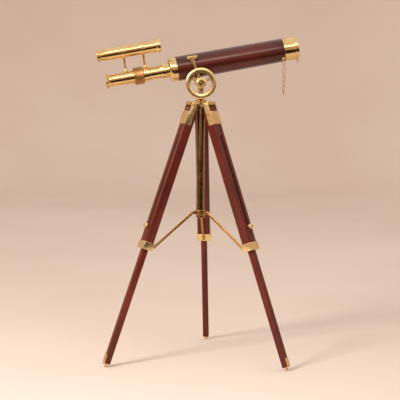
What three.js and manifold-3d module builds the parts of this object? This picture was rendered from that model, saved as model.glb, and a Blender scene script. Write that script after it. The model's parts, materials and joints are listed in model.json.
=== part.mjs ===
// A floor-standing decor telescope on a wooden tripod, in millimetres, +Z up.
// The tube points along +X and the tilt axle lies along Y. The origin is the middle of the
// whole object's footprint, at floor level.
import * as THREE from 'three';
import { mergeVertices } from 'three/addons/utils/BufferGeometryUtils.js';
import Module from 'manifold-3d';

const wasm = await Module();
wasm.setup();

// ---- driving dimensions ----
const ROUND = 24;              // sides of a large turned part
const SMALL_ROUND = 12;        // sides of a small turned part
const GAP = 0.3;               // clearance between pieces that touch

const PIVOT_HEIGHT = 1000;     // leg hinges above the floor
const PIVOT_RADIUS = 40;       // leg hinges from the tripod's axis
const LEG_LEAN = rad(20.2);    // legs from vertical
const TRIPOD_TURN = rad(-12);  // back leg from +Y
const LEG_NAMES = ['back', 'left', 'right'];

const WOOD_OUT = 11;           // leg's outer face from the hinge line
const WOOD_IN = -23;           // leg's inner face
const WOOD_HALF = 25;          // half the upper leg's width
const WOOD_END = -588;         // bottom of the upper leg, along the leg
const LOWER_MID = -6;          // middle of the lower leg from the hinge line
const LOWER_DEPTH = 22;
const LOWER_WIDTH = 24;
const LOWER_TOP = -478;
const LOWER_END = -1048.5;
const SLIDE_PLAY = 0.5;        // play of the lower leg in its channel
const CHANNEL_TOP = -105;
const SLOT_TOP = -126;
const SLOT_END = -507;
const SLOT_WIDTH = 9;
const KNOB_PLACE = -498;

const COLLAR_HIGH = 31;
const COLLAR_WALL = 3;
const BRACE_HINGE_X = -39.5;   // brace pivot on the collar, from the hinge line
const BRACE_HINGE_Z = -572;
const BRACE_THICK = 6;
const FORK_GAP = 0.6;          // brace to each ear of its fork
const FORK_EAR = 3;

const COLUMN_RADIUS = 16.25;
const COLUMN_END = 560;
const HUB_HEIGHT = 579;        // brace pivots on the sliding hub
const HUB_PIVOT_RADIUS = 33;
const HEAD_TOP = 1013;
const HEAD_UNDER = 993;

const TILT_HEIGHT = 1083;      // tilt axle above the floor
const TUBE_TILT = rad(10.3);   // objective end raised
const TILT_BACK = 8;           // tilt axle behind the tripod's axis
const AXIS_ABOVE_AXLE = 68.6;  // barrel axis above the tilt axle
const BARREL_FORWARD = 7.9;    // zero mark of the tube's stations, ahead of the axle
const FINDER_ABOVE_BARREL = 101;
const AXLE_RADIUS = 5;
const ARM_INNER = 48.3;        // tilt arms from the middle plane
const ARM_THICK = 5;
const WHEEL_FACE = 57;         // hand wheel's inner face from the middle plane
const WHEEL_THICK = 9;
const WHEEL_RADIUS = 60.5;

const STUD_PLACE = 330;        // chain stud along the tube
const STUD_DROP = 30;          // chain stud below the barrel axis
const LINK_COUNT = 8;
const LINK_WIDTH = 13;
const LINK_LONG = 21.5;
const WIRE = 2.2;
const BARREL_AT_STUD = 45.1;   // barrel's radius at the stud
const STUD_EYE_PLACE = 52.8;   // middle of the stud's eye from the barrel axis
const STUD_EYE_RADIUS = 3.2;
const CAP_EYE_PLACE = 391.5;
const CAP_EYE_DROP = 48.6;
const CAP_EYE_RADIUS = 3;
const CAP_RING_SIZE = 12.6;

// ---- finishes ----
const brass = finish(0xd4a05a, 0.22, 1);
const polishedBrass = finish(0xe0b86c, 0.15, 1);
const agedBrass = finish(0x8a5e2e, 0.3, 1);
const mahogany = finish(0x5a160d, 0.3, 0);
const barrelRed = finish(0x50140e, 0.25, 0);
const glass = finish(0xbfd4d8, 0.05, 0);

function rad(degrees) {
  return degrees * Math.PI / 180;
}

function finish(color, roughness, metalness) {
  return new THREE.MeshStandardMaterial({ color, roughness, metalness });
}

// ---- shape helpers ----
function piece(name, geometry, material) {
  const mesh = new THREE.Mesh(geometry, material);
  mesh.name = name;
  return mesh;
}

// a turned part along +X from [place, radius] pairs
function turned(profile, sides = ROUND) {
  const points = profile.map(([along, radius]) => new THREE.Vector2(radius, along));
  return new THREE.LatheGeometry(points, sides).rotateZ(-Math.PI / 2);
}

// the same with a bore: the profile closes on itself
function turnedRing(profile, sides = ROUND) {
  return turned([...profile, profile[0]], sides);
}

function box(x0, x1, y0, y1, z0, z1) {
  const geometry = new THREE.BoxGeometry(x1 - x0, y1 - y0, z1 - z0);
  return geometry.translate((x0 + x1) / 2, (y0 + y1) / 2, (z0 + z1) / 2);
}

// a rod along Y
function rodY(radius, y0, y1, sides = SMALL_ROUND) {
  return new THREE.CylinderGeometry(radius, radius, y1 - y0, sides).translate(0, (y0 + y1) / 2, 0);
}

// a flat outline in X and Z, thick from y0 to y1
function plateXZ(points, y0, y1) {
  const shape = new THREE.Shape(points.map(([x, z]) => new THREE.Vector2(x, z)));
  const geometry = new THREE.ExtrudeGeometry(shape, { depth: y1 - y0, bevelEnabled: false });
  return geometry.rotateX(Math.PI / 2).translate(0, y1, 0);
}

// points on an arc, in degrees
function arc(cx, cz, radius, from, to, steps) {
  return Array.from({ length: steps + 1 }, (_, i) => {
    const angle = rad(from + (to - from) * i / steps);
    return [cx + radius * Math.cos(angle), cz + radius * Math.sin(angle)];
  });
}

function toSolid(geometry) {
  const bare = new THREE.BufferGeometry();
  bare.setAttribute('position', geometry.attributes.position);
  bare.setIndex(geometry.index);
  const merged = mergeVertices(bare, 1e-4);
  const vertProperties = new Float32Array(merged.attributes.position.array);
  const triVerts = new Uint32Array(merged.index.array);
  return new wasm.Manifold(new wasm.Mesh({ numProp: 3, vertProperties, triVerts }));
}

function toGeometry(solid) {
  const mesh = solid.getMesh();
  const geometry = new THREE.BufferGeometry();
  geometry.setAttribute('position', new THREE.BufferAttribute(mesh.vertProperties, 3));
  geometry.setIndex(new THREE.BufferAttribute(mesh.triVerts, 1));
  geometry.computeVertexNormals();
  return geometry;
}

function joined(parts, cuts = []) {
  let solid = toSolid(parts[0]);
  for (const part of parts.slice(1)) solid = solid.add(toSolid(part));
  for (const cut of cuts) solid = solid.subtract(toSolid(cut));
  return toGeometry(solid);
}

// ---- barrel and objective end, along the barrel axis ----
function barrelParts() {
  const flange = [
    [-146, 26.1], [-146, 27.4], [-143, 28.5], [-125, 28.5], [-122, 27], [-115, 27], [-115, 36.5],
    [-112.5, 42.5], [-107, 46.3], [-100, 47.4], [-100, 48], [-84.3, 48], [-84.3, 40.2],
    [-64, 40.2], [-64, 26.1],
  ];
  const shield = [
    [318, 35], [318, 40.2], [339.3, 40.2], [339.3, 44.5], [386, 44.5], [386, 42], [345, 42],
    [345, 38], [321, 38], [321, 35],
  ];
  return [
    piece('main_barrel', turnedRing([[-84, 40.5], [-84, 47.5], [339, 45], [339, 40.5]]), barrelRed),
    piece('barrel_flange', turnedRing(flange), brass),
    piece('dew_shield', turnedRing(shield), brass),
    piece('objective_lens', lens(321.3, 327.3, 37.7, 2, 4), glass),
    chainStud(),
  ];
}

// a disc lens with domed faces, along +X
function lens(back, front, radius, backDome, frontDome) {
  const rings = [0, 0.6, 1];
  const backFace = rings.map((r) => [back - backDome * (1 - r * r), radius * r]);
  const frontFace = rings.map((r) => [front + frontDome * (1 - r * r), radius * r]).reverse();
  return turned([...backFace, ...frontFace], ROUND);
}

// the stud stands square to the barrel's surface and ends in a small eye
function chainStud() {
  const drop = Math.asin(STUD_DROP / BARREL_AT_STUD);
  const post = turned([[45.4, 0], [45.4, 5], [47, 5], [47.6, 3], [49.2, 3], [49.2, 0]], 16);
  post.rotateZ(-Math.PI / 2);
  const eye = new THREE.TorusGeometry(STUD_EYE_RADIUS, WIRE / 2, 6, 14).rotateY(Math.PI / 2);
  eye.translate(0, -STUD_EYE_PLACE, 0);
  const geometry = joined([post, eye]);
  geometry.rotateX(drop).translate(STUD_PLACE, 0, 0);
  return piece('chain_stud', geometry, brass);
}

function capParts() {
  const cap = turned([
    [391, 0], [391, 39.5], [372, 39.5], [372, 41.7], [386.3, 41.7], [386.3, 45.1], [387.6, 45.75],
    [395, 45.75], [397, 44.5], [397, 0],
  ]);
  const eye = new THREE.TorusGeometry(CAP_EYE_RADIUS, WIRE / 2, 6, 14).rotateY(Math.PI / 2);
  eye.translate(CAP_EYE_PLACE, 0, -CAP_EYE_DROP);
  return [piece('lens_cap', joined([cap, eye]), brass)];
}

// ---- draw tube, focuser and eyepiece, along the barrel axis ----
function drawParts() {
  const drawTube = [
    [-262, 21.5], [-262, 23.0], [-215, 23.0], [-215, 25.7], [-40, 25.7], [-40, 21.5],
  ];
  const focusRing = [
    [-250.7, 23.5], [-250.7, 32.3], [-249.2, 33.5], [-216.8, 33.5], [-215.3, 32.3], [-215.3, 23.5],
  ];
  const eyepiece = [[-341, 23.5], [-341, 24.5], [-265, 24.5], [-265, 23.5]];
  const cup = [
    [-341.3, 12], [-349.5, 12], [-351, 17], [-356, 24], [-361, 29.3], [-361, 30.5], [-357, 28.9],
    [-352, 24.6], [-349, 23], [-346.5, 24.6], [-343.5, 25.2], [-341.3, 24.6],
  ];
  return [
    piece('draw_tube', turnedRing(drawTube), brass),
    piece('focus_ring', turnedRing(focusRing), agedBrass),
    piece('eyepiece_tube', turnedRing(eyepiece), brass),
    piece('eyecup', turnedRing(cup), brass),
    piece('eye_lens', lens(-348.5, -344.5, 11.7, 1.5, 1), glass),
    finderBracket('finder_bracket_front', -202, [
      [-214.7, 26], [-214.7, 28.5], [-195, 28.5], [-195, 26],
    ], 26.4),
    finderBracket('finder_bracket_rear', -278, [
      [-285, 24.9], [-285, 26.5], [-251, 26.5], [-251, 23.5], [-257, 23.5], [-257, 24.9],
    ], 25.3),
  ];
}

// a clamp ring on the draw tube, a post and a ring that holds the finder
function finderBracket(name, place, ring, postFoot) {
  const postTop = FINDER_ABOVE_BARREL - 25;
  const post = new THREE.CylinderGeometry(6, 6, postTop - postFoot, SMALL_ROUND).rotateX(Math.PI / 2);
  post.translate(place, 0, (postTop + postFoot) / 2);
  const holder = turnedRing([[-6, 23.9], [-6, 27.5], [6, 27.5], [6, 23.9]]);
  holder.translate(place, 0, FINDER_ABOVE_BARREL);
  return piece(name, joined([turnedRing(ring), post, holder]), brass);
}

// ---- finder, along its own axis ----
function finderParts() {
  const tube = [[-352, 21], [-352, 23.5], [-146, 23.5], [-144, 26], [-132, 26], [-132, 21]];
  const eyepiece = [
    [-378, 23.2], [-378, 24], [-374, 23.6], [-367, 21.4], [-364, 20.5], [-330, 20.5], [-330, 9],
    [-366, 9], [-368, 14],
  ];
  return [
    piece('finder_tube', turnedRing(tube), brass),
    piece('finder_objective_lens', lens(-142, -138, 20.7, 1, 2), glass),
    piece('finder_eyepiece', turnedRing(eyepiece), brass),
    piece('finder_eye_lens', lens(-362, -358, 8.7, 1, 1), glass),
  ];
}

// ---- tilt arms: side = -1 for the wheel's side, +1 for the far side ----
function tiltArm(name, side) {
  const outer = ARM_INNER + ARM_THICK;
  const earX = -15;
  const earZ = AXIS_ABOVE_AXLE + 34;
  const sideBox = (near, far) => (side < 0 ? [-far, -near] : [near, far]);
  const eye = rodY(11, ...sideBox(ARM_INNER, outer), 16);
  const stem = plateXZ([
    [-5, 4], [5, 4], [-6.5, 70], [earX + 8, earZ - 16], [earX + 10.5, earZ], [earX - 10.5, earZ],
    [earX - 8, earZ - 16], [-14.5, 70],
  ], ...sideBox(ARM_INNER, outer));
  const ear = plateXZ([
    ...arc(earX + 14, earZ, 6.5, -90, 90, 6), ...arc(earX - 14, earZ, 6.5, 90, 270, 6),
  ], ...sideBox(30, outer));
  const bore = rodY(AXLE_RADIUS + 0.4, -outer - 1, outer + 1);
  const seat = turned([[-60, 0], [-60, 47.9], [60, 47.9], [60, 0]], 48);
  seat.translate(0, 0, AXIS_ABOVE_AXLE);
  return piece(name, joined([eye, stem, ear], [bore, seat]), brass);
}

// ---- mount between the tripod and the tube, about the tripod's axis ----
function mountParts() {
  const base = turned([
    [HEAD_TOP + GAP, 0], [HEAD_TOP + GAP, 19.5], [1029, 19.5], [1031, 18], [1040, 12.5], [1048, 12],
    [TILT_HEIGHT, 12], [TILT_HEIGHT, 0],
  ]).rotateY(-Math.PI / 2);
  const crossTube = rodY(12, -47.5, 47.5, ROUND).translate(-TILT_BACK, 0, TILT_HEIGHT);
  const axleBore = rodY(AXLE_RADIUS + 0.4, -60, 60).translate(-TILT_BACK, 0, TILT_HEIGHT);
  const boltHole = turned([[1005, 0], [1005, 5.4], [1042, 5.4], [1042, 0]], SMALL_ROUND);
  boltHole.rotateY(-Math.PI / 2);
  const bolt = turned([[978, 0], [978, 9], [985.7, 9], [985.7, 5], [1040, 5], [1040, 0]], SMALL_ROUND);
  bolt.rotateY(-Math.PI / 2);
  return [
    piece('mount_post', joined([base, crossTube], [axleBore, boltHole]), brass),
    piece('pan_bolt', bolt, agedBrass),
    tiltAxle(),
    wheelNut(),
  ];
}

function alongY(profile, sides) {
  return turned(profile, sides).rotateZ(Math.PI / 2);
}

function tiltAxle() {
  const headFrom = ARM_INNER + ARM_THICK + 1;
  const axle = alongY([
    [-70, 0], [-70, AXLE_RADIUS], [headFrom, AXLE_RADIUS], [headFrom, 9], [headFrom + 5, 9],
    [headFrom + 7, 7], [headFrom + 7, 0],
  ], SMALL_ROUND);
  return piece('tilt_axle', axle.translate(-TILT_BACK, 0, TILT_HEIGHT), brass);
}

function wheelNut() {
  const nut = alongY([[-71, 6.2], [-71, 8.4], [-66.7, 8.4], [-66.7, 6.2], [-71, 6.2]], 6);
  return piece('wheel_nut', nut.translate(-TILT_BACK, 0, TILT_HEIGHT), agedBrass);
}

// the hand wheel: a flat rim, three spokes and a boss with a recess for the nut
function handWheel() {
  const spokeHalf = 6.5;
  const windowOuter = 40.5;
  const windowInner = 19;
  const depth = WHEEL_THICK;
  const rim = new THREE.Shape(arcVectors(WHEEL_RADIUS, 0, 360, 36).slice(0, -1));
  for (const spoke of [30, 150, 270]) {
    rim.holes.push(wheelWindow(spoke, spoke + 120, spokeHalf, windowInner, windowOuter));
  }
  const bevel = { depth: depth - 3, bevelThickness: 1.5, bevelSize: 1.5, bevelSegments: 1 };
  const disc = new THREE.ExtrudeGeometry(rim, { ...bevel, bevelOffset: -1.5 });
  disc.rotateX(Math.PI / 2).translate(0, -WHEEL_FACE - 1.5, 0);
  const boss = rodY(16, -WHEEL_FACE - depth - 4, -WHEEL_FACE, ROUND);
  const bore = rodY(AXLE_RADIUS + 0.4, -90, 0);
  const recess = rodY(9.3, -90, -WHEEL_FACE - depth, SMALL_ROUND);
  const geometry = joined([disc, boss], [bore, recess]);
  return piece('hand_wheel', geometry.translate(-TILT_BACK, 0, TILT_HEIGHT), polishedBrass);
}

function arcVectors(radius, from, to, steps) {
  return arc(0, 0, radius, from, to, steps).map(([x, y]) => new THREE.Vector2(x, y));
}

function onCircle(radius, degrees) {
  return new THREE.Vector2(radius * Math.cos(rad(degrees)), radius * Math.sin(rad(degrees)));
}

// one opening between two spokes, its corners cut round
function wheelWindow(fromSpoke, toSpoke, spokeHalf, inner, outer) {
  const outerTurn = THREE.MathUtils.radToDeg(Math.asin((spokeHalf + 5) / outer));
  const innerTurn = THREE.MathUtils.radToDeg(Math.asin((spokeHalf + 4) / inner));
  const sideOuter = THREE.MathUtils.radToDeg(Math.asin(spokeHalf / (outer - 5)));
  const sideInner = THREE.MathUtils.radToDeg(Math.asin(spokeHalf / (inner + 4)));
  return new THREE.Path([
    ...arcVectors(outer, fromSpoke + outerTurn, toSpoke - outerTurn, 7),
    onCircle(outer - 5, toSpoke - sideOuter),
    onCircle(inner + 4, toSpoke - sideInner),
    ...arcVectors(inner, toSpoke - innerTurn, fromSpoke + innerTurn, 3),
    onCircle(inner + 4, fromSpoke + sideInner),
    onCircle(outer - 5, fromSpoke + sideOuter),
  ]);
}

// ---- chain and loose ring: links of round wire, hanging straight down ----
function wireLink(name, width, long) {
  const ringRadius = (width - WIRE) / 2;
  const stretch = (long - width) / 2;
  const geometry = new THREE.TorusGeometry(ringRadius, WIRE / 2, 6, 10).rotateX(Math.PI / 2);
  const places = geometry.attributes.position;
  for (let i = 0; i < places.count; i += 1) {
    const z = places.getZ(i);
    if (Math.abs(z) > 1e-3) places.setZ(i, z + Math.sign(z) * stretch);
  }
  return piece(name, geometry, brass);
}

// how far the middle of a link or ring hangs below the wire that carries it
function hangingDrop(long) {
  return long / 2 - WIRE / 2 - WIRE - GAP;
}

function chain() {
  const group = new THREE.Group();
  const pitch = LINK_LONG - 2 * WIRE - GAP;
  for (let i = 0; i < LINK_COUNT; i += 1) {
    const link = wireLink(`chain_link_${i + 1}`, LINK_WIDTH, LINK_LONG);
    link.position.z = -hangingDrop(LINK_LONG) - i * pitch;
    link.rotation.z = i % 2 === 0 ? 0 : Math.PI / 2;
    group.add(link);
  }
  return group;
}

// ---- tripod head, column and sliding hub ----
function tripodHead() {
  const half = WOOD_HALF - 0.5;
  const lug = [
    [0, HEAD_TOP], [PIVOT_RADIUS + 11, HEAD_TOP], [PIVOT_RADIUS + 13, HEAD_TOP - 2],
    [PIVOT_RADIUS + 13, PIVOT_HEIGHT + 3], ...arc(PIVOT_RADIUS, PIVOT_HEIGHT, 9, -20, -140, 6),
    [PIVOT_RADIUS - 9, HEAD_UNDER], [0, HEAD_UNDER],
  ].reverse();
  const arms = [];
  const holes = [];
  LEG_NAMES.forEach((_, i) => {
    const turn = legAngle(i);
    arms.push(plateXZ(lug, -half, half).rotateZ(turn));
    holes.push(rodY(3.4, -40, 40).translate(PIVOT_RADIUS, 0, PIVOT_HEIGHT).rotateZ(turn));
  });
  const boltHole = turned([[980, 0], [980, 5.4], [1020, 5.4], [1020, 0]], SMALL_ROUND);
  holes.push(boltHole.rotateY(-Math.PI / 2));
  return piece('tripod_head', joined(arms, holes), brass);
}

function centerColumn() {
  const column = turnedRing([
    [COLUMN_END, 13.5], [COLUMN_END, 17.6], [COLUMN_END + 1, 18.2], [COLUMN_END + 3, 18.2],
    [COLUMN_END + 4, COLUMN_RADIUS], [HEAD_UNDER - GAP, COLUMN_RADIUS], [HEAD_UNDER - GAP, 13.5],
  ]);
  return piece('center_column', column.rotateY(-Math.PI / 2), agedBrass);
}

function forkEars(rootX, pivotX, pivotZ, radius) {
  const inner = BRACE_THICK / 2 + FORK_GAP;
  const away = Math.sign(pivotX - rootX);
  const outline = away > 0
    ? [[rootX, pivotZ - radius], ...arc(pivotX, pivotZ, radius, -90, 90, 6), [rootX, pivotZ + radius]]
    : [[rootX, pivotZ + radius], ...arc(pivotX, pivotZ, radius, 90, 270, 6), [rootX, pivotZ - radius]];
  return [plateXZ(outline, inner, inner + FORK_EAR), plateXZ(outline, -inner - FORK_EAR, -inner)];
}

function spreaderHub() {
  const ring = turnedRing([
    [HUB_HEIGHT - 10, COLUMN_RADIUS + 0.4], [HUB_HEIGHT - 10, 19], [HUB_HEIGHT - 9, 20],
    [HUB_HEIGHT + 9, 20], [HUB_HEIGHT + 10, 19], [HUB_HEIGHT + 10, COLUMN_RADIUS + 0.4],
  ]).rotateY(-Math.PI / 2);
  const parts = [ring];
  LEG_NAMES.forEach((_, i) => {
    for (const ear of forkEars(18, HUB_PIVOT_RADIUS, HUB_HEIGHT, 5.5)) parts.push(ear.rotateZ(legAngle(i)));
  });
  return piece('spreader_hub', joined(parts), agedBrass);
}

function legAngle(index) {
  return rad(90 + 120 * index) + TRIPOD_TURN;
}

// ---- one leg, in its own frame: X outward, Z up the leg, the hinge at the origin ----
function upperLeg(name) {
  const body = plateXZ([
    [WOOD_IN, WOOD_END], [WOOD_OUT, WOOD_END], [WOOD_OUT, -11], [WOOD_IN, -30],
  ], -WOOD_HALF, WOOD_HALF);
  const depth = LOWER_DEPTH / 2 + SLIDE_PLAY;
  const width = LOWER_WIDTH / 2 + SLIDE_PLAY;
  const channel = box(LOWER_MID - depth, LOWER_MID + depth, -width, width, WOOD_END - 1, CHANNEL_TOP);
  const half = SLOT_WIDTH / 2;
  const slot = new THREE.Shape([
    ...arc(0, SLOT_TOP - half, half, 0, 180, 8), ...arc(0, SLOT_END + half, half, 180, 360, 8),
  ].map(([y, z]) => new THREE.Vector2(y, z)));
  const cut = new THREE.ExtrudeGeometry(slot, { depth: 20, bevelEnabled: false });
  cut.rotateX(Math.PI / 2).rotateZ(Math.PI / 2).translate(WOOD_OUT - 19, 0, 0);
  return piece(name, joined([body], [channel, cut]), mahogany);
}

function legBracket(name) {
  const side = WOOD_HALF + GAP;
  const thick = 2.5;
  const face = WOOD_OUT + GAP;
  const strapOutline = [
    ...arc(0, 0, 11, 0, 180, 8), [-11, -79], [-8, -82], [face, -82], [face, -30], [11, -30],
  ];
  const straps = [
    plateXZ(strapOutline, side, side + thick),
    plateXZ(strapOutline, -side - thick, -side),
    box(face - 0.1, face + thick, -side - thick, side + thick, -78, -30),
  ];
  const hole = rodY(3.4, -40, 40);
  return piece(name, joined(straps, [hole]), polishedBrass);
}

function legCollar(name) {
  const side = WOOD_HALF + GAP;
  const back = WOOD_IN - GAP;
  const front = WOOD_OUT + GAP;
  const top = WOOD_END + COLLAR_HIGH;
  const wall = COLLAR_WALL;
  const shell = box(back - wall, front + wall, -side - wall, side + wall, WOOD_END, top);
  const inside = box(back, front, -side, side, WOOD_END - 1, top + 1);
  const ears = forkEars(back - wall + 1, BRACE_HINGE_X, BRACE_HINGE_Z, 6);
  const reach = BRACE_THICK / 2 + FORK_GAP + FORK_EAR + 1.5;
  const pin = rodY(2.3, -reach, reach, 12).translate(BRACE_HINGE_X, 0, BRACE_HINGE_Z);
  const sleeve = toGeometry(toSolid(shell).subtract(toSolid(inside)));
  return piece(name, joined([sleeve, ...ears, pin]), polishedBrass);
}

function lowerLeg(name) {
  const halfDepth = LOWER_DEPTH / 2;
  const halfWidth = LOWER_WIDTH / 2;
  const front = LOWER_MID + halfDepth;
  const body = box(LOWER_MID - halfDepth, front, -halfWidth, halfWidth, LOWER_END, LOWER_TOP);
  const hole = turned([[front - 12, 0], [front - 12, 4.4], [front + 5, 4.4], [front + 5, 0]], SMALL_ROUND);
  return piece(name, joined([body], [hole.translate(0, 0, KNOB_PLACE)]), mahogany);
}

function legKnob(name) {
  const knob = turned([
    [-6, 0], [-6, 4], [11.6, 4], [11.6, 6.5], [14, 6.5], [14, 9], [15.5, 11], [25, 11], [27.5, 9],
    [28.3, 5], [28.3, 0],
  ], SMALL_ROUND);
  return piece(name, knob.translate(0, 0, KNOB_PLACE), polishedBrass);
}

// a plate on the leg's outer face, a cap under its end and a short rod cut level with the floor
function footSpike(name) {
  const front = LOWER_MID + LOWER_DEPTH / 2 + GAP;
  const under = LOWER_END - GAP;
  const plate = box(front, front + 3, -10, 10, under - 3, LOWER_END + 34);
  const cap = box(LOWER_MID - 8, front + 1, -10, 10, under - 3, under);
  const rod = turned([[-30, 0], [-30, 4.5], [1, 4.5], [1, 0]], SMALL_ROUND).rotateY(-Math.PI / 2);
  rod.translate(LOWER_MID, 0, under - 2);
  const floor = box(0, 800, -200, 200, -400, 0);
  floor.translate(-PIVOT_RADIUS, 0, -PIVOT_HEIGHT).rotateY(LEG_LEAN);
  return piece(name, joined([plate, cap, rod], [floor]), polishedBrass);
}

function pivotBolt(name) {
  const bolt = alongY([
    [-31.1, 0], [-31.1, 4.5], [-30.1, 6], [-28.1, 6], [-28.1, 3], [28.1, 3], [28.1, 6], [30.1, 6],
    [31.1, 4.5], [31.1, 0],
  ], SMALL_ROUND);
  return piece(name, bolt, brass);
}

// a flat bar from the collar's fork to the hub's fork
function spreaderBrace(name) {
  const start = legPoint(BRACE_HINGE_X, BRACE_HINGE_Z);
  const runX = HUB_PIVOT_RADIUS - start.x;
  const runZ = HUB_HEIGHT - start.z;
  const long = Math.hypot(runX, runZ);
  const half = BRACE_THICK / 2;
  const bar = plateXZ([
    ...arc(0, 0, 4.6, 90, 270, 8), ...arc(long, 0, 4.6, -90, 90, 8),
  ], -half, half);
  const hole = rodY(2.7, -10, 10, 12);
  const geometry = joined([bar], [hole]);
  geometry.rotateY(-Math.atan2(runZ, runX)).translate(start.x, 0, start.z);
  return piece(name, geometry, agedBrass);
}

// a point of the leg's frame, in the upright plane through the tripod's axis
function legPoint(x, z) {
  return new THREE.Vector3(
    PIVOT_RADIUS + x * Math.cos(LEG_LEAN) - z * Math.sin(LEG_LEAN),
    0,
    PIVOT_HEIGHT + x * Math.sin(LEG_LEAN) + z * Math.cos(LEG_LEAN),
  );
}

function leg(name, index) {
  const group = new THREE.Group();
  group.rotation.z = legAngle(index);
  group.add(spreaderBrace(`spreader_brace_${name}`));
  const leaning = new THREE.Group();
  leaning.position.set(PIVOT_RADIUS, 0, PIVOT_HEIGHT);
  leaning.rotation.y = -LEG_LEAN;
  leaning.add(
    upperLeg(`upper_leg_${name}`),
    legBracket(`leg_bracket_${name}`),
    legCollar(`leg_collar_${name}`),
    lowerLeg(`lower_leg_${name}`),
    legKnob(`leg_knob_${name}`),
    footSpike(`foot_spike_${name}`),
    pivotBolt(`leg_pivot_bolt_${name}`),
  );
  group.add(leaning);
  return group;
}

// ---- assembly ----
function tube() {
  const group = new THREE.Group();
  group.position.set(-TILT_BACK, 0, TILT_HEIGHT);
  group.rotation.y = -TUBE_TILT;
  const barrel = new THREE.Group();
  barrel.position.set(BARREL_FORWARD, 0, AXIS_ABOVE_AXLE);
  barrel.add(...barrelParts(), ...capParts(), ...drawParts());
  const finder = new THREE.Group();
  finder.position.set(BARREL_FORWARD, 0, AXIS_ABOVE_AXLE + FINDER_ABOVE_BARREL);
  finder.add(...finderParts());
  group.add(barrel, finder, tiltArm('tilt_arm_near', -1), tiltArm('tilt_arm_far', 1));
  return group;
}

// a point at a station of the barrel, above or below its axis
function barrelPoint(station, y, above) {
  const along = station + BARREL_FORWARD;
  const height = above + AXIS_ABOVE_AXLE;
  return new THREE.Vector3(
    along * Math.cos(TUBE_TILT) - height * Math.sin(TUBE_TILT) - TILT_BACK,
    y,
    TILT_HEIGHT + along * Math.sin(TUBE_TILT) + height * Math.cos(TUBE_TILT),
  );
}

function hangingChain() {
  const drop = Math.asin(STUD_DROP / BARREL_AT_STUD);
  const y = -STUD_EYE_PLACE * Math.cos(drop);
  const above = -STUD_EYE_PLACE * Math.sin(drop) - STUD_EYE_RADIUS;
  const hanging = chain();
  hanging.position.copy(barrelPoint(STUD_PLACE, y, above));
  return hanging;
}

function capRing() {
  const ring = wireLink('cap_ring', CAP_RING_SIZE, CAP_RING_SIZE);
  ring.position.copy(barrelPoint(CAP_EYE_PLACE, 0, -CAP_EYE_DROP - CAP_EYE_RADIUS));
  ring.position.z -= hangingDrop(CAP_RING_SIZE);
  return ring;
}

const telescope = new THREE.Group();
telescope.add(tripodHead(), centerColumn(), spreaderHub());
LEG_NAMES.forEach((name, i) => telescope.add(leg(name, i)));
telescope.add(...mountParts(), handWheel(), tube(), hangingChain(), capRing());

// stand the object on the middle of its footprint
telescope.updateMatrixWorld(true);
const footprint = new THREE.Box3().setFromObject(telescope, true).getCenter(new THREE.Vector3());
telescope.position.set(-footprint.x, -footprint.y, 0);

export default telescope;
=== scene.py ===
import json
import math
import random

import bmesh
import bpy
from mathutils import Matrix, Vector

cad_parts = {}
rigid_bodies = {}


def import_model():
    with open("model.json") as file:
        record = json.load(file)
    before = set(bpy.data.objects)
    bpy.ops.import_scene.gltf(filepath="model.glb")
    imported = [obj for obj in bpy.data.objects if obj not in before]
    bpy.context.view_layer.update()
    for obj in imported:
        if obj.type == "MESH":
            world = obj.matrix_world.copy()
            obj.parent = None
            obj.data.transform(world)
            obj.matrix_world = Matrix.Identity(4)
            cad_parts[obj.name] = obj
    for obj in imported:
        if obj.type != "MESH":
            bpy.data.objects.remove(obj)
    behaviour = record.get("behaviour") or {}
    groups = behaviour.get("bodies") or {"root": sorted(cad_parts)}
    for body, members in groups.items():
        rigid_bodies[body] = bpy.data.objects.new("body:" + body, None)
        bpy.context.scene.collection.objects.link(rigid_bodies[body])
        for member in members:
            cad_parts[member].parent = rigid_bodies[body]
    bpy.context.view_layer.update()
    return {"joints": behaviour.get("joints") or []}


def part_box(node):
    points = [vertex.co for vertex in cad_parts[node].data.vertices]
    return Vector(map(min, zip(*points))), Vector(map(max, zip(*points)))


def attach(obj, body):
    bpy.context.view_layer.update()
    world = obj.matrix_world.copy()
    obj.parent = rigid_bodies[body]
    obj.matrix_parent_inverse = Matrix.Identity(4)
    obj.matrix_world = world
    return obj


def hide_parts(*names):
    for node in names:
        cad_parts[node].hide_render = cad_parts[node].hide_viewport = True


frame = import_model()
joints = {j["name"]: j for j in frame["joints"]}
mm = 0.001
legNames = ("back", "left", "right")
random.seed(12)


def jointPoint(name):
    return Vector(joints[name]["pos_m"])


def jointAxis(name):
    return Vector(joints[name]["axis"]).normalized()


def axesFrame(origin, xAxis, yAxis):
    # a matrix whose X and Y run along the given directions
    x = Vector(xAxis).normalized()
    y = Vector(yAxis).normalized()
    z = x.cross(y)
    turn = Matrix((x, y, z)).transposed().to_4x4()
    return Matrix.Translation(origin) @ turn


tubeAxis = jointAxis("draw_slide")
focusStation = -233  # middle of the focus ring, where its joint sits
barrelFrame = axesFrame(
    jointPoint("focus_turn") - tubeAxis * focusStation * mm, tubeAxis, (0, 1, 0))
tiltPoint = jointPoint("tube_tilt")
tiltFrame = axesFrame(tiltPoint, tubeAxis, (0, 1, 0))
panPoint = jointPoint("pan_turn")
postFrame = Matrix.Translation((panPoint.x, panPoint.y, 0))
axleFrame = Matrix.Translation(tiltPoint)


def boxMiddle(node):
    low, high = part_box(node)
    return (low + high) / 2


finderAbove = round((barrelFrame.inverted() @ boxMiddle("finder_objective_lens")).z / mm)
finderFrame = barrelFrame @ Matrix.Translation((0, 0, finderAbove * mm))


def legFrame(name):
    # X outward through the leg, Z up the leg, the hinge at the origin
    up = jointAxis("leg_slide_" + name)
    out = jointAxis("knob_turn_" + name)
    return axesFrame(jointPoint("leg_fold_" + name), out, up.cross(out))


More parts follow.
